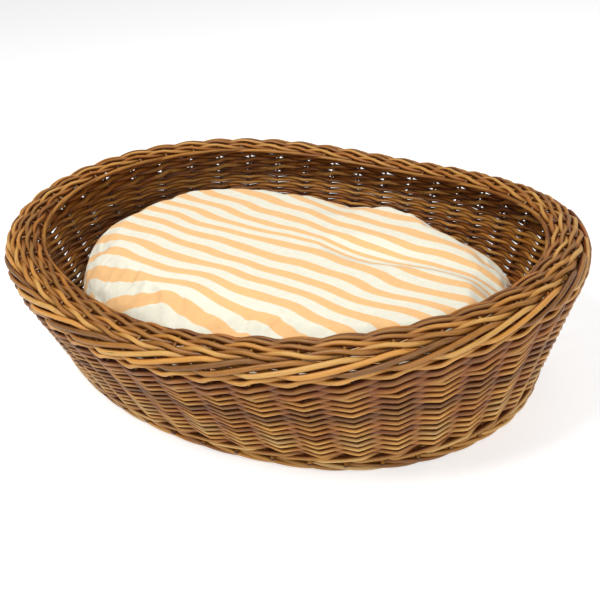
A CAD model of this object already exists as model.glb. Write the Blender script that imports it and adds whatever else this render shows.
# Wicker pet bed: woven willow basket with a rolled rim, and a loose striped cushion.
import math
import bpy
import numpy as np
from mathutils import Matrix, Vector


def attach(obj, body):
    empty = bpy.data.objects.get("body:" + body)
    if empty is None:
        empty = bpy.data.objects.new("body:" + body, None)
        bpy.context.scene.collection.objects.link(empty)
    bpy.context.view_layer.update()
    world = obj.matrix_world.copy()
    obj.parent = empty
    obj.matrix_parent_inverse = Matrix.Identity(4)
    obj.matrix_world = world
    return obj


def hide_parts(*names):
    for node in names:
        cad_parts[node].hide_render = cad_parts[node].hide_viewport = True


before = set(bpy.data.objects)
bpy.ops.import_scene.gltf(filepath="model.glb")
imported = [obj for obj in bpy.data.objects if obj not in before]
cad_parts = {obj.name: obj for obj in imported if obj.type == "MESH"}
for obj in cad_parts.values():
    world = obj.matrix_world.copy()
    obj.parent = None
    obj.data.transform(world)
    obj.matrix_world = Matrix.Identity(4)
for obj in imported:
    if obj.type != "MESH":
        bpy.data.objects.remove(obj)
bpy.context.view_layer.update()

# ---------------------------------------------------------------- the basket's shape, in metres
# Plan: two ends of radius END_R + off round centres at -c and c, and two flatter sides whose radius
# is longer by SIDE_GROW * c and whose centres lie SIDE_SHIFT * c past the middle.
END_R, FOOT_CX, RIM_CX = 0.255, 0.109, 0.0915
SIDE_SHIFT, SIDE_GROW = 2.4, 2.6
TURN = math.atan2(SIDE_SHIFT, 1)

# Section: a straight wall that leans out, then a rim rolled inwards. Both rise towards the ends.
LEAN_DEG = 28
LEAN, Z0, WALL, TIP, ROLL = math.radians(LEAN_DEG), 0.006, 0.153, math.radians(4.9), 0.0265
TIP_SOFT, TIP_DROP, LEAN_IN = 0.0064, 0.048, 0.0037
ROLL_END = math.radians(140)
ROLL_OFF = WALL * math.sin(LEAN) - ROLL * math.cos(LEAN)
ROLL_Z = Z0 + WALL * math.cos(LEAN) + ROLL * math.sin(LEAN)

STAKES, STEP = 46, 0.00465
SIDING_ROWS, FIRST_ROW = 24, 0.0262

# Cushion: its outline lies PAD_IN inside a plan with centres at PAD_CX.
PAD_CX, PAD_IN = 0.120, 0.024
PAD_HALF_X, PAD_HALF_Y = 0.351, 0.255
PAD_Z, PAD_TOP, CROWN, SEAM_Z = 0.0225, 0.1179, 0.035, 0.109


def plan(t, off, c):
    """Point of an outline whose normal points along t, moved outwards by off."""
    x, y = np.abs(np.cos(t)), np.abs(np.sin(t))
    end = np.arctan2(y, x) < TURN
    side_r = END_R + SIDE_GROW * c + off
    px = np.where(end, c + (END_R + off) * x, side_r * x)
    py = np.where(end, (END_R + off) * y, side_r * y - SIDE_SHIFT * c)
    return px * np.sign(np.cos(t)), py * np.sign(np.sin(t))


# The stakes are spaced evenly along the plan halfway up the wall.
MID_R = END_R + 0.04
MID_SIDE = MID_R + SIDE_GROW * (FOOT_CX + RIM_CX) / 2
END_ARC = MID_R * TURN
QUARTER = END_ARC + MID_SIDE * (math.pi / 2 - TURN)


def quarter_normal(v):
    """Direction of the normal at length v along the first quarter of the plan."""
    return np.where(v < END_ARC, v / MID_R, TURN + (v - END_ARC) / MID_SIDE)


def normal_at(a):
    """Direction of the wall's normal at a, counted in stakes round the basket."""
    s = np.mod((np.asarray(a, float) + 0.5) * 4 * QUARTER / STAKES, 4 * QUARTER)
    k = np.floor(s / QUARTER)
    u = s - k * QUARTER
    there, back = quarter_normal(u), quarter_normal(QUARTER - u)
    return np.select([k == 0, k == 1, k == 2], [there, np.pi - back, np.pi + there],
                     2 * np.pi - back)


def raise_ends(x, share):
    """Rise of the wall towards its two ends, rounded at the middle."""
    return math.tan(TIP) * share * (np.sqrt(x * x + TIP_SOFT) - TIP_DROP)


def rolled(deg):
    """Length along the section at which the rolled rim points up by deg."""
    return WALL + ROLL * math.radians(deg + LEAN_DEG)


def shell(a, s, n):
    """Point at a round the wall and s up its section, n to its outside."""
    a, s, n = np.broadcast_arrays(*(np.asarray(v, float) for v in (a, s, n)))
    roll = s > WALL
    th = (s - WALL) / ROLL - LEAN
    off = np.where(roll, ROLL_OFF + (ROLL + n) * np.cos(th),
                   s * math.sin(LEAN) + n * math.cos(LEAN))
    z = np.where(roll, ROLL_Z + (ROLL + n) * np.sin(th),
                 Z0 + s * math.cos(LEAN) - n * math.sin(LEAN))
    share = np.clip(s / WALL, 0, 1)
    x, y = plan(normal_at(a), off, FOOT_CX + (RIM_CX - FOOT_CX) * share)
    return np.stack([x * (1 - LEAN_IN * share), y, z + raise_ends(x, share)], -1)


def foot(a, off, z):
    """Point at a round the foot, off outside its outline, at height z."""
    x, y = plan(normal_at(a), off, FOOT_CX)
    return np.stack([x, y, z + 0 * x], -1)


# ---------------------------------------------------------------- rods
TIP_POINT = 0.25  # height of a rod's end, in radii


def tubes(name, rods, sides=8):
    """One mesh of round rods. A rod is (path, outward points, radii, tone, hue), and may end with
    lit: how clear each point is of shade, or how clear its outer and its inner side are."""
    co, faces, uv, tint = [], [], [], []
    base = 0
    for path, out, rad, tone, hue, *more in rods:
        m = len(path)
        lit = more[0] if more else np.ones(m)
        tan = np.gradient(path, axis=0)
        tan /= np.linalg.norm(tan, axis=1, keepdims=True)
        side = np.cross(tan, out - path)
        side /= np.linalg.norm(side, axis=1, keepdims=True)
        up = np.cross(side, tan)
        ang = np.arange(sides) * 2 * np.pi / sides
        spoke = (np.cos(ang)[None, :, None] * up[:, None]
                 + np.sin(ang)[None, :, None] * side[:, None])
        ring = path[:, None] + rad[:, None, None] * spoke
        co.append(ring.reshape(-1, 3))
        # a low point closes each end
        co.append(np.stack([path[0] - tan[0] * rad[0] * TIP_POINT,
                            path[-1] + tan[-1] * rad[-1] * TIP_POINT]))
        steps = np.linalg.norm(np.diff(path, axis=0), axis=1)
        along = np.concatenate([[0], np.cumsum(steps)])
        i, j = np.meshgrid(np.arange(m - 1), np.arange(sides), indexing="ij")
        k = (j + 1) % sides
        f = np.stack([i * sides + j, i * sides + k,
                      (i + 1) * sides + k, (i + 1) * sides + j], -1).reshape(-1, 4)
        u0, u1 = along[i].ravel(), along[i + 1].ravel()
        v0, v1 = (j / sides).ravel(), ((j + 1) / sides).ravel()
        faces.append((f + base, 4))
        corners = [np.stack(c, -1) for c in ((u0, v0), (u0, v1), (u1, v1), (u1, v0))]
        uv.append(np.stack(corners, 1).reshape(-1, 2))
        j = np.arange(sides)
        k = (j + 1) % sides
        e0 = np.stack([np.full(sides, m * sides), k, j], -1)
        e1 = np.stack([np.full(sides, m * sides + 1),
                       (m - 1) * sides + j, (m - 1) * sides + k], -1)
        faces.append((np.concatenate([e0, e1]) + base, 3))
        uv.append(np.tile([along[-1], 0.5], (6 * sides, 1)))
        n = m * sides + 2
        # dirt and shade gather where a rod lies against its neighbours
        lit = lit if lit.ndim == 2 else np.stack([lit, lit], -1)
        face = np.cos(ang)
        bare = np.clip(1.25 * np.abs(face), 0.18, 1)
        shade = bare * np.where(face > 0, lit[:, :1], lit[:, 1:])
        col = np.tile([tone, hue, 1.0, 1.0], (n, 1))
        col[:, 2] = np.concatenate([shade.ravel(), [lit[0, 0], lit[-1, 0]]])
        tint.append(col)
        base += n
    co, uv, tint = np.concatenate(co), np.concatenate(uv), np.concatenate(tint)
    loops = np.concatenate([f.ravel() for f, _ in faces])
    sizes = np.concatenate([np.full(len(f), n) for f, n in faces])
    me = bpy.data.meshes.new(name)
    me.vertices.add(len(co))
    me.vertices.foreach_set("co", co.astype(np.float32).ravel())
    me.loops.add(len(loops))
    me.loops.foreach_set("vertex_index", loops.astype(np.int32))
    me.polygons.add(len(sizes))
    starts = np.concatenate([[0], np.cumsum(sizes)[:-1]])
    me.polygons.foreach_set("loop_start", starts.astype(np.int32))
    me.update(calc_edges=True)
    me.validate()
    layer = me.uv_layers.new(name="along")
    layer.data.foreach_set("uv", uv.astype(np.float32).ravel())
    colour = me.attributes.new("rod", "FLOAT_COLOR", "POINT")
    colour.data.foreach_set("color", tint.astype(np.float32).ravel())
    me.polygons.foreach_set("use_smooth", np.ones(len(sizes), bool))
    me.update()
    ob = bpy.data.objects.new(name, me)
    bpy.context.scene.collection.objects.link(ob)
    return ob


def zigzag(x, q=0.985):
    """Wave of period 2 and height 1, straight between its rounded tips, highest at 0."""
    return np.arcsin(q * np.cos(np.pi * x)) / math.asin(q)


START = {2: 1, 3: 1.5, 4: 2}  # where the first rod goes in, which is inside the wall


def weave(seed, period, s0, rad, reach, rise=0.0, kink=0.0, only=None, samples=8, turn=1,
          every=20, uneven=0.0003, snap=0.0):
    """Rods that weave round the stakes: each passes outside period - 1 of every period stakes
    (one of two where the period is 2), by reach. rise spreads the strands up and down the section
    and snap makes them change places close to a stake. kink bends a rod at each stake, only picks
    one strand of a pair, and a rod is about every stakes long."""
    rng = np.random.default_rng(seed)
    loops = math.gcd(STAKES, period)
    length = STAKES * period // loops
    rods = []
    phase = rng.uniform(0, 6.28, 12)
    shift = rng.normal(0, uneven, STAKES)
    for loop in range(loops):
        if only is not None and loop != only % 2:
            continue
        first = START[period] - loop
        cuts = [first]
        while cuts[-1] + every * 1.4 < first + length:
            periods = round(every * rng.uniform(0.75, 1.3) / period)
            cuts.append(cuts[-1] + period * periods)
        cuts.append(first + length)
        for c0, c1 in zip(cuts[:-1], cuts[1:]):
            g = np.linspace(c0 - 0.3, c1 + 0.3, int((c1 - c0 + 0.6) * samples) + 1)
            p = (g + loop) / period
            if period == 2:
                w = zigzag(2 * p) if rise == 0 else np.cos(2 * np.pi * p)
            elif period == 3:
                w = np.clip(0.35 + 1.7 * np.cos(2 * np.pi * (p + 1 / 6)), -1, 1)
                p = p + 1 / 6
            else:
                w = np.clip(1 + 2 * np.cos(2 * np.pi * p), -1, 1)
            wob = sum(uneven / math.sqrt(k) * np.sin(2 * np.pi * k * g / STAKES + phase[q])
                      for q, k in enumerate((2, 3, 5, 8, 13, 21)))
            jit = rng.normal(0, 0.00011, 3)
            swap = zigzag(2 * p - 0.5, 0.96)
            if snap:
                # the two strands of a pair change places close to a stake
                swap = np.tanh(snap * swap) / math.tanh(snap)
            bend = kink * (1.7 * np.abs(np.sin(np.pi * g)) - 1)
            s = s0 + wob + turn * rise * swap + bend + jit[0]
            k = np.floor(g).astype(int)
            f = 0.5 - 0.5 * np.cos(np.pi * (g - k))
            s = s + shift[k % STAKES] * (1 - f) + shift[(k + 1) % STAKES] * f
            n = reach * w * (1 + jit[1] * 400)
            start, end = (1.06, 0.94) if rng.random() < 0.5 else (0.94, 1.06)
            taper = np.linspace(start, end, len(g))
            r = rad * taper * (1 + 0.03 * np.sin(g * 2.3 + phase[8]))
            path = shell(g, s, n)
            # the rows stand further apart towards the raised ends, where thicker rods are picked
            if s0 < WALL:
                r = r * (1 + 0.7 * np.maximum(np.abs(path[:, 0]) - 0.03, 0))
            # a strand's outer side is in shade where it runs inside, and its inner side outside
            out = np.clip(n / reach, -1, 1)
            fall, inner = (0.25, 0.85) if s0 > WALL else (0.6, 0.78)
            lit = np.stack([1 - fall * (1 - out), inner * (1 - 0.35 * (1 + out))], -1)
            lit = np.clip(lit, 0.05, 1)
            rods.append((path, shell(g, s, n + 0.002), r, rng.random(), rng.random(), lit))
    return rods


def place(ob, body, nodes, mat):
    """Puts a piece on its body, in place of the frame's nodes."""
    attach(ob, body)
    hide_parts(*nodes)
    ob.data.materials.append(mat)


# ---------------------------------------------------------------- materials
class Shader:
    """A new material, with short ways to add and link its nodes. Values are sockets or numbers."""

    def __init__(self, name):
        self.mat = bpy.data.materials.new(name)
        self.mat.use_nodes = True
        self.tree = self.mat.node_tree
        self.bsdf = self.tree.nodes["Principled BSDF"]

    def feed(self, socket, value):
        if isinstance(value, bpy.types.NodeSocket):
            self.tree.links.new(value, socket)
        else:
            socket.default_value = value

    def add(self, kind, inputs=None, **settings):
        node = self.tree.nodes.new(kind)
        for key, value in settings.items():
            setattr(node, key, value)
        for key, value in (inputs or {}).items():
            self.feed(node.inputs[key], value)
        return node

    def math(self, operation, *values, kind="ShaderNodeMath"):
        return self.add(kind, dict(enumerate(values)), operation=operation).outputs[0]

    def vector(self, operation, *values):
        return self.math(operation, *values, kind="ShaderNodeVectorMath")

    def noise(self, at, scale, detail, roughness):
        return self.add("ShaderNodeTexNoise", {
            "Vector": at, "Scale": scale, "Detail": detail, "Roughness": roughness}).outputs[0]

    def remap(self, value, low, high, to_low, to_high, how="LINEAR"):
        return self.add("ShaderNodeMapRange", {
            0: value, "From Min": low, "From Max": high, "To Min": to_low, "To Max": to_high},
            interpolation_type=how).outputs[0]

    def ramp(self, value, stops):
        node = self.add("ShaderNodeValToRGB", {0: value})
        el = node.color_ramp.elements
        while len(el) > 1:
            el.remove(el[-1])
        el[0].position, el[0].color = stops[0][0], (*stops[0][1], 1)
        for pos, col in stops[1:]:
            el.new(pos).color = (*col, 1)
        return node.outputs[0]

    def times(self, a, b):
        """Colour a multiplied by colour b."""
        node = self.add("ShaderNodeMix", data_type="RGBA", blend_type="MULTIPLY")
        for key, value in (("Factor", 1.0), ("A", a), ("B", b)):
            self.feed(node.inputs[key], value)
        return node.outputs["Result"]

    def bump(self, height, strength, distance, **under):
        return self.add("ShaderNodeBump", {
            "Height": height, "Strength": strength, "Distance": distance, **under}).outputs[0]

    def surface(self, **inputs):
        for key, value in inputs.items():
            self.feed(self.bsdf.inputs[key.replace("_", " ")], value)


# Willow from its dark to its pale end, and the tints that single rods take.
WILLOW = ((0.10, (0.110, 0.038, 0.005)), (0.36, (0.26, 0.108, 0.016)),
          (0.62, (0.46, 0.225, 0.042)), (0.95, (0.70, 0.445, 0.150)))
ROD_TINTS = ((0.0, (1.0, 0.82, 0.55)), (0.4, (1.0, 0.94, 0.80)),
             (0.8, (1.0, 1.0, 1.0)), (1.0, (0.86, 0.93, 1.25)))
SHADE_POWERS = (0.75, 1.15, 1.8)  # shade takes more of the blue than of the red


def willow(name, light=1.0, green=1.0, blue=1.0):
    """Peeled and buffed willow: each rod has its own tone, with long grain, knots and patches."""
    m = Shader(name)
    uv = m.add("ShaderNodeUVMap", uv_map="along").outputs[0]
    rod = m.add("ShaderNodeAttribute", attribute_name="rod").outputs["Color"]
    tone, hue, clear = m.add("ShaderNodeSeparateColor", {0: rod}).outputs[:3]
    # grain: long along the rod, fine across it, moved on by a random amount per rod
    stretched = m.vector("MULTIPLY", uv, (28, 7, 1))
    grain = m.noise(m.vector("MULTIPLY_ADD", rod, (37, 19, 53), stretched), 1.0, 5.0, 0.62)
    where = m.add("ShaderNodeNewGeometry").outputs["Position"]
    patch = m.noise(where, 55.0, 3.0, 0.6)
    # tone of the rod, varied by grain and patches
    pale = m.math("MULTIPLY", tone, 0.62)
    pale = m.math("MULTIPLY_ADD", grain, 0.42, pale)
    pale = m.math("MULTIPLY_ADD", patch, 0.22, pale)
    wood = m.ramp(pale, [(at, (r * light, g * light * green, b * light * blue))
                         for at, (r, g, b) in WILLOW])
    wood = m.times(wood, m.ramp(hue, ROD_TINTS))
    # small dark knots and scars
    spread = m.vector("MULTIPLY", uv, (16, 1.0, 1))
    spots = m.add("ShaderNodeTexVoronoi", {
        "Vector": m.vector("MULTIPLY_ADD", rod, (91, 13, 7), spread), "Scale": 1.0}, feature="F1")
    knot = m.remap(spots.outputs["Distance"], 0.05, 0.20, 0.35, 1.0, "SMOOTHSTEP")
    # shade between the rods, browner as it gets deeper
    lit = m.remap(clear, 0.0, 0.95, 0.06, 1.0)
    shade = m.add("ShaderNodeCombineColor", {
        q: m.math("MULTIPLY", m.math("POWER", lit, p), knot)
        for q, p in enumerate(SHADE_POWERS)}).outputs[0]
    # satin on the smooth stretches, duller where patchy
    m.surface(Base_Color=m.times(wood, shade), Roughness=m.remap(patch, 0.3, 0.7, 0.34, 0.58),
              Normal=m.bump(grain, 0.35, 0.0006), Specular_IOR_Level=0.45)
    return m.mat


W_SIDE = willow("willow_siding_mat", 1.0, 0.98, 0.85)
W_RIM = willow("willow_rim_mat", 0.92, 0.91, 0.76)
W_FOOT = willow("willow_foot_mat", 0.95)
W_STAKE = willow("willow_stake_mat", 0.85)
W_BASE = willow("willow_base_mat", 0.85)

# ---------------------------------------------------------------- stakes
rng = np.random.default_rng(7)
top_s = WALL + ROLL * (ROLL_END + LEAN)
rods = []
for i in range(STAKES):
    s = np.concatenate([np.linspace(-0.003, WALL, 16)[:-1], np.linspace(WALL, top_s, 22)])
    a = i + 0.03 * np.sin(s * 40 + i * 2.1) * (s > 0.02) + rng.normal(0, 0.015)
    rods.append((shell(a, s, 0), shell(a, s, 0.002), np.linspace(0.0026, 0.0021, len(s)),
                 rng.random() * 0.8, rng.random(), np.where(s > 0.135, 0.55, 0.15)))
place(tubes("stakes", rods), "basket", ["side_stakes", "rim_stakes"], W_STAKE)

# ---------------------------------------------------------------- siding, one rod at a time
for i in range(1, SIDING_ROWS + 1):
    s0 = FIRST_ROW + (i - 1) * STEP
    rods = weave(100 + i, 2, s0, 0.00256, 0.0046, kink=0.0014, only=i, samples=10, uneven=0.00015)
    place(tubes("siding_%02d" % i, rods), "basket", ["siding_row_%02d" % i],
          W_SIDE)

# ---------------------------------------------------------------- thicker rows above and below it
for i, s0 in enumerate((0.1399, 0.1506, 0.1618), 1):
    rods = weave(200 + i, 2, s0, 0.0034, 0.0044, rise=0.0027, snap=3.4, samples=14)
    place(tubes("spaced_%d" % i, rods), "basket", ["spaced_row_%d" % i], W_RIM)
rods = weave(210, 4, rolled(20), 0.0036, 0.0048, rise=0.0070, every=24)
place(tubes("shoulder_wale", rods), "basket",
      ["shoulder_wale_rod_1", "shoulder_wale_rod_2", "shoulder_wale_rod_3"], W_RIM)
for i, deg in enumerate((51, 72, 94, 116), 1):
    rods = weave(220 + i, 2, rolled(deg), 0.0034 if i == 1 else 0.0031, 0.0034, rise=0.0029,
                 turn=-1, every=26, snap=1.4, samples=10)
    place(tubes("rim_%d" % i, rods), "basket", ["rim_row_%d" % i], W_RIM)
rods = weave(230, 3, rolled(137.5), 0.0027, 0.0022, rise=0.0008, every=15)
place(tubes("lip_border", rods), "basket",
      ["lip_border_rod_1", "lip_border_rod_2", "lip_border_rod_3"], W_RIM)
rods = weave(240, 3, 0.0183, 0.0031, 0.0050, rise=0.0036, every=21)
place(tubes("foot_wale", rods), "basket",
      ["foot_wale_rod_1", "foot_wale_rod_2", "foot_wale_rod_3", "upsett_rod"], W_FOOT)

# ---------------------------------------------------------------- foot border
def smooth(x, xs, ys):
    """The line through the points, rounded at its corners."""
    return sum(np.interp(x + d, xs, ys) for d in (-0.25, -0.125, 0, 0.125, 0.25)) / 5


# Each stake's foot end lies round the outside, over the next ones, and goes in under them.
BORDER_AT = (0, 0.5, 1, 1.5, 2, 2.5, 3, 3.5)  # in stakes
BORDER_OFF = (-0.003, 0.0025, 0.0072, 0.0080, 0.0070, 0.0040, -0.0015, -0.0070)
BORDER_Z = (0.0095, 0.0110, 0.0113, 0.0086, 0.0052, 0.0032, 0.0031, 0.0036)

rng = np.random.default_rng(31)
rods = []
for i in range(STAKES):
    t = np.linspace(0, BORDER_AT[-1], 36)
    off, z = smooth(t, BORDER_AT, BORDER_OFF), smooth(t, BORDER_AT, BORDER_Z)
    off = off + rng.normal(0, 0.0002)
    r = np.linspace(0.0032, 0.0027, len(t))
    z = np.maximum(z, r + 0.0001)
    rods.append((foot(i + t, off, z), foot(i + t, off + 0.002, z), r, rng.random(), rng.random()))
for i in range(STAKES):
    # the thick cut end of each rod shows just above the border
    p = shell(i + 0.55 + np.array([0, 0.03, 0.06, 0.062]),
              [0.0100, 0.0098, 0.0094, 0.0094], [-0.003, 0.002, 0.0080, 0.0084])
    rods.append((p, p + [0, 0, 0.002], np.full(4, 0.0031), rng.random(), rng.random(),
                 np.array([0.2, 0.5, 0.8, 0.0])))
place(tubes("foot_border", rods), "basket",
      ["foot_border_outer", "foot_border_inner"], W_FOOT)

# ---------------------------------------------------------------- woven base
BASE_OFF, STICK_IN, WEAVE_IN = -0.013, 0.004, 0.005
CROSS_STICKS, CROSS_STEP, CROSS_Z = 13, 0.046, 0.015
LONG_STICKS, LONG_STEP, LONG_Z = 5, 0.080, 0.0195
BASE_RODS, BASE_STEP = 86, 0.0060
BASE_END_R = END_R + BASE_OFF
BASE_SIDE_R = END_R + SIDE_GROW * FOOT_CX + BASE_OFF


def half_len(y):
    """Half the base's length at y."""
    y = abs(y)
    if y > BASE_END_R * math.sin(TURN):
        return math.sqrt(max(BASE_SIDE_R ** 2 - (y + SIDE_SHIFT * FOOT_CX) ** 2, 0))
    return FOOT_CX + math.sqrt(max(BASE_END_R ** 2 - y * y, 0))


def half_wid(x):
    """Half the base's width at x."""
    x = abs(x)
    if x < FOOT_CX + BASE_END_R * math.cos(TURN):
        return math.sqrt(BASE_SIDE_R ** 2 - x * x) - SIDE_SHIFT * FOOT_CX
    return math.sqrt(BASE_END_R ** 2 - (x - FOOT_CX) ** 2)


rng = np.random.default_rng(51)
rods = []
for i in range(CROSS_STICKS):
    x = (i - CROSS_STICKS // 2) * CROSS_STEP
    h = half_wid(x) - STICK_IN
    y = np.linspace(-h, h, 24)
    p = np.stack([x + 0 * y, y, CROSS_Z + 0 * y], -1)
    rods.append((p, p + [0, 0, 0.002], np.full(len(y), 0.0025), rng.random(), rng.random()))
place(tubes("base_cross", rods), "basket", ["base_cross_sticks"], W_BASE)

rods = []
for i in range(LONG_STICKS):
    y = (i - LONG_STICKS // 2) * LONG_STEP + 0.003
    h = half_len(y) - STICK_IN
    x = np.linspace(-h, h, 30)
    p = np.stack([x, y + 0 * x, LONG_Z + 0 * x], -1)
    rods.append((p, p + [0, 0, 0.002], np.full(len(x), 0.0022), rng.random(), rng.random()))
place(tubes("base_long", rods), "basket", ["base_long_sticks"], W_BASE)

rods = []
for i in range(BASE_RODS):
    y = (i - (BASE_RODS - 1) / 2) * BASE_STEP
    h = half_len(y) - WEAVE_IN
    x = np.arange(-h, h, 0.0058)
    z = CROSS_Z + (1 if i % 2 else -1) * 0.0044 * zigzag(x / CROSS_STEP)
    p = np.stack([x, y + 0.0006 * np.sin(x * 31 + i), z], -1)
    rods.append((p, p + [0, 0.0001, 0.002], np.full(len(x), 0.0029), rng.random(), rng.random()))
place(tubes("base_weave_rods", rods), "basket", ["base_weave"], W_BASE)

rods = []
for j in range(4):
    # two twisted pairs, which close the base against the wall
    g = np.linspace(0, STAKES + 0.4, 420)
    off = BASE_OFF + (0.0030 if j < 2 else 0.0088) + 0.0022 * np.cos(np.pi * (g + j))
    z = 0.0142 + 0.0024 * np.sin(np.pi * (g + j))
    rods.append((foot(g, off, z), foot(g, off + 0.003, z), np.full(len(g), 0.0031),
                 rng.random(), rng.random()))
place(tubes("base_edge", rods), "basket", ["base_edge_rod"], W_BASE)

# ---------------------------------------------------------------- cushion
PAD_RING = 192
TOP_STEPS = ((0.003, 0.0), (0.008, 0.010), (0.020, 0.019), (0.045, 0.0265), (0.08, 0.0305),
             (0.12, 0.0325))  # how far in from the side, and how far up


def mesh_object(name, verts, faces):
    me = bpy.data.meshes.new(name)
    me.from_pydata([tuple(v) for v in verts], [], [tuple(f) for f in faces])
    me.update()
    ob = bpy.data.objects.new(name, me)
    bpy.context.scene.collection.objects.link(ob)
    return ob


def pad_shape():
    """Closed cushion: flat underneath, a soft side that bulges, and a crowned top."""
    m = PAD_RING
    t = np.arange(m) * 2 * np.pi / m
    band = PAD_TOP - PAD_Z
    levels = [(-PAD_IN - 0.008 - ins, PAD_Z + 0.0006 + up)
              for ins, up in ((0.030, 0.0), (0.012, 0.0012), (0.003, 0.007))]
    levels += [(-PAD_IN - 0.008 + 0.006 * math.sin(math.pi * k), PAD_Z + 0.001 + band * k)
               for k in (0.12, 0.35, 0.6, 0.85)]
    levels += [(-PAD_IN - 0.006 - ins, PAD_TOP + up - 0.001) for ins, up in TOP_STEPS]
    rings = [(*plan(t, off, PAD_CX), np.full(m, z)) for off, z in levels]
    x, y, z = rings[-1]
    rings += [(x * f, y * f, z + 0.0008) for f in (0.75, 0.5, 0.25)]
    verts = [(0, 0, PAD_Z + 0.0006)]
    for x, y, z in rings:
        verts += list(zip(x, y, z))
    verts.append((0, 0, PAD_TOP + 0.0333))
    faces = []
    for j in range(m):
        k = (j + 1) % m
        faces.append((0, 1 + k, 1 + j))
        for r in range(len(rings) - 1):
            b, c = 1 + r * m, 1 + (r + 1) * m
            faces.append((b + j, b + k, c + k, c + j))
        b = 1 + (len(rings) - 1) * m
        faces.append((b + j, b + k, len(verts) - 1))
    return mesh_object("cushion", verts, faces)


def bell(u, v):
    return np.exp(-u * u - v * v)


def ridge(u, v):
    """A fold across u that fades in along v."""
    return np.exp(-u ** 2) / (1 + np.exp(-v))


def lumps(x, y):
    """Broad hollows and rises of a fibre filling, as a height."""
    h = 0.009 * bell((x + 0.20) / 0.10, (y + 0.02) / 0.13)
    h += 0.006 * bell((x - 0.20) / 0.09, (y + 0.06) / 0.08)
    h -= 0.012 * ridge((y - 0.035 - 0.12 * x) / 0.040, (x - 0.01) / 0.03)
    h += 0.007 * ridge((y + 0.055 - 0.1 * x) / 0.055, (x - 0.02) / 0.04)
    h -= 0.008 * bell((x + 0.07) / 0.055, (y + 0.07) / 0.10)
    h -= 0.006 * bell((x + 0.02) / 0.05, (y - 0.15) / 0.07)
    h += 0.0035 * np.sin(21 * x - 9 * y + 2.0) + 0.0020 * np.sin(29 * x + 23 * y + 1.0)
    return 1.25 * h


def apply_modifiers(ob):
    """Makes the evaluated mesh the object's own."""
    dg = bpy.context.evaluated_depsgraph_get()
    me = bpy.data.meshes.new_from_object(ob.evaluated_get(dg))
    ob.modifiers.clear()
    ob.data = me


pad = pad_shape()
bpy.context.view_layer.objects.active = pad
mod = pad.modifiers.new("remesh", "REMESH")
mod.mode, mod.voxel_size = "VOXEL", 0.006
apply_modifiers(pad)


def coords(ob):
    c = np.empty(len(ob.data.vertices) * 3, np.float32)
    ob.data.vertices.foreach_get("co", c)
    return c.reshape(-1, 3).astype(float)


def set_coords(ob, c):
    ob.data.vertices.foreach_set("co", c.astype(np.float32).ravel())
    ob.data.update()


CLOTH_FRAMES, MOVE_CAP = 20, 0.012

# the filling's pressure fills out the cloth, and no point moves by more than MOVE_CAP
start = coords(pad)
cl = pad.modifiers.new("cloth", "CLOTH")
st = cl.settings
st.quality, st.mass, st.air_damping = 6, 0.3, 2.0
st.tension_stiffness = st.compression_stiffness = 18
st.shear_stiffness, st.bending_stiffness = 8, 0.6
st.use_pressure, st.uniform_pressure_force = True, 4.0
st.effector_weights.gravity = 0.0
cl.point_cache.frame_start, cl.point_cache.frame_end = 1, CLOTH_FRAMES
for f in range(1, CLOTH_FRAMES + 1):
    bpy.context.scene.frame_set(f)
apply_modifiers(pad)
end = coords(pad)
bpy.context.scene.frame_set(1)
move = end - start
size = np.linalg.norm(move, axis=1, keepdims=True)
end = start + move * np.minimum(1, MOVE_CAP / np.maximum(size, 1e-9))
set_coords(pad, end)

c = coords(pad)
# the lumps fade out down the side
top = np.clip((c[:, 2] - PAD_Z - 0.03) / 0.06, 0, 1)
c[:, 2] += lumps(c[:, 0], c[:, 1]) * top
c[:, 2] = np.clip(c[:, 2], PAD_Z + 0.0005, PAD_TOP + CROWN + 0.004)
# the seam between top and side band draws the cloth in
draw = 0.0016 * np.exp(-((c[:, 2] - SEAM_Z) / 0.005) ** 2)
rim_part = np.clip((np.hypot(c[:, 0] / PAD_HALF_X, c[:, 1] / PAD_HALF_Y) - 0.85) / 0.1, 0, 1)
c[:, :2] *= (1 - draw * rim_part / np.maximum(np.hypot(c[:, 0], c[:, 1]), 0.05))[:, None]
set_coords(pad, c)
sub = pad.modifiers.new("sub", "SUBSURF")
sub.levels = sub.render_levels = 1
pad.data.polygons.foreach_set("use_smooth", np.ones(len(pad.data.polygons), bool))


STRIPE = 0.0355  # from one coloured stripe to the next
SLANT, WANDER = math.tan(math.radians(4.0)), 0.048
FOLD_Y, FOLD_SLANT, FOLD_STEEP, CROWD = 0.035, -0.12, 45.0, 0.020
BAND_STRIPES, WIDEN = 53, 1.376  # WIDEN makes the plan about round
CREAM, ORANGE = (0.83, 0.80, 0.65, 1), (0.90, 0.53, 0.23, 1)


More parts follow.
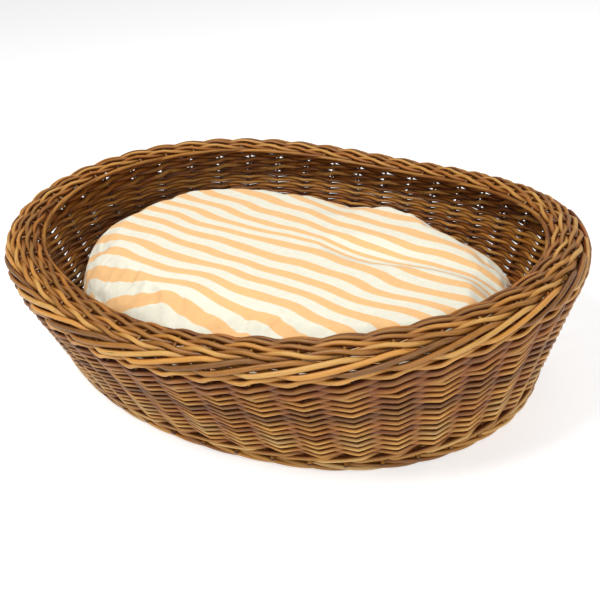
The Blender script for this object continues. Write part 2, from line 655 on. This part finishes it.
def striped_cotton():
    """Plain-woven cotton with printed stripes across the cushion."""
    m = Shader("striped_cotton_mat")
    at = m.add("ShaderNodeTexCoord").outputs["Object"]
    x, y, z = m.add("ShaderNodeSeparateXYZ", {0: at}).outputs[:3]
    # distance across the stripes, which wander a little
    wander = m.noise(m.vector("MULTIPLY", at, (1, 1, 0)), 7.0, 1.0, 0.4)
    across = m.math("MULTIPLY_ADD", x, SLANT, y)
    across = m.math("MULTIPLY_ADD", wander, WANDER, across)
    # the stripes crowd together in the lengthwise hollow
    hollow = m.math("MULTIPLY_ADD", x, FOLD_SLANT, y)
    hollow = m.math("MULTIPLY_ADD", hollow, FOLD_STEEP, -FOLD_STEEP * FOLD_Y)
    share = m.remap(x, -0.17, 0.03, 0.0, CROWD, "SMOOTHSTEP")
    across = m.math("MULTIPLY_ADD", m.math("TANH", hollow), share, across)
    top = m.math("MULTIPLY", across, 2 * math.pi / STRIPE)
    # the side band is cut from the same cloth, with its stripes upright
    round_side = m.math("ARCTAN2", m.math("MULTIPLY", y, WIDEN), x)
    side = m.math("MULTIPLY", round_side, BAND_STRIPES)
    below = m.math("LESS_THAN", z, SEAM_Z)
    normal = m.add("ShaderNodeNewGeometry").outputs["Normal"]
    up = m.add("ShaderNodeSeparateXYZ", {0: normal}).outputs[2]
    steep = m.math("LESS_THAN", m.math("ABSOLUTE", up), 0.75)
    either = m.add("ShaderNodeMix", {0: m.math("MULTIPLY", below, steep), 2: top, 3: side},
                   data_type="FLOAT").outputs[0]
    stripe = m.remap(m.math("SINE", either), -0.02, 0.18, 0.0, 1.0, "SMOOTHSTEP")
    print_mix = m.add("ShaderNodeMix", data_type="RGBA")
    for key, value in (("A", CREAM), ("B", ORANGE), ("Factor", stripe)):
        m.feed(print_mix.inputs[key], value)
    # threads: two crossed waves, and slubs
    warp, weft = (m.add("ShaderNodeTexWave", {
        "Vector": at, "Scale": 330.0, "Distortion": 0.6, "Detail": 1.0},
        wave_type="BANDS", bands_direction=way).outputs["Fac"] for way in "XY")
    slub = m.noise(at, 90.0, 4.0, 0.6)
    shade = m.remap(slub, 0.3, 0.7, 0.95, 1.03)
    grey = m.add("ShaderNodeCombineColor", {0: shade, 1: shade, 2: shade}).outputs[0]
    thread = m.bump(m.math("MAXIMUM", warp, weft), 0.25, 0.0003)
    m.surface(Base_Color=m.times(print_mix.outputs["Result"], grey),
              Normal=m.bump(slub, 0.25, 0.002, Normal=thread), Roughness=0.85,
              Specular_IOR_Level=0.25, Sheen_Weight=0.25, Sheen_Roughness=0.4)
    return m.mat


pad.data.materials.clear()
place(pad, "cushion",
      ["cushion_filling", "cushion_cover_top", "cushion_cover_bottom", "cushion_side_band"],
      striped_cotton())

# ---------------------------------------------------------------- floor, light and camera
FLOOR = 40
floor = mesh_object("floor", [(-FLOOR, -FLOOR, 0), (FLOOR, -FLOOR, 0), (FLOOR, FLOOR, 0),
                              (-FLOOR, FLOOR, 0)], [(0, 1, 2, 3)])
paper = Shader("floor_mat")
paper.surface(Base_Color=(0.62, 0.62, 0.62, 1), Roughness=0.9, Emission_Color=(1, 1, 1, 1),
              Emission_Strength=0.62)
floor.data.materials.append(paper.mat)

world = bpy.data.worlds.new("studio")
bpy.context.scene.world = world
world.use_nodes = True
world.node_tree.nodes["Background"].inputs["Color"].default_value = (1, 1, 1, 1)
world.node_tree.nodes["Background"].inputs["Strength"].default_value = 0.30


def area(name, loc, size, power):
    """Disk light at loc that points at the basket."""
    li = bpy.data.lights.new(name, "AREA")
    li.shape, li.size, li.energy = "DISK", size, power
    ob = bpy.data.objects.new(name, li)
    bpy.context.scene.collection.objects.link(ob)
    ob.location = loc
    ob.rotation_euler = (AIM - Vector(loc)).to_track_quat("-Z", "Y").to_euler()


AIM = Vector((0, 0, 0.1))
area("key", (-0.3, -1.3, 2.6), 0.9, 60)
area("fill", (2.2, -1.4, 1.3), 1.2, 20)
area("back", (0.2, 2.0, 2.4), 1.6, 18)

# The camera looks at the middle from az round and el up, rolls, and shifts sideways by tx, ty.
az, el, roll, dist, lens, tx, ty = 0.6835, 0.4826, -0.0637, 1.3783, 53.928, 0.0115, 0.0591
back = Vector((math.sin(az) * math.cos(el), -math.cos(az) * math.cos(el), math.sin(el)))
right = Vector((math.cos(az), math.sin(az), 0))
up = back.cross(right)
r2 = right * math.cos(roll) + up * math.sin(roll)
u2 = up * math.cos(roll) - right * math.sin(roll)
cam_data = bpy.data.cameras.new("camera")
cam_data.lens, cam_data.sensor_width = lens, 36
cam = bpy.data.objects.new("camera", cam_data)
bpy.context.scene.collection.objects.link(cam)
cam.matrix_world = Matrix((
    (r2.x, u2.x, back.x, 0), (r2.y, u2.y, back.y, 0), (r2.z, u2.z, back.z, 0), (0, 0, 0, 1)))
cam.location = back * dist + r2 * tx + u2 * ty
bpy.context.scene.camera = cam
bpy.context.scene.view_settings.view_transform = "Standard"
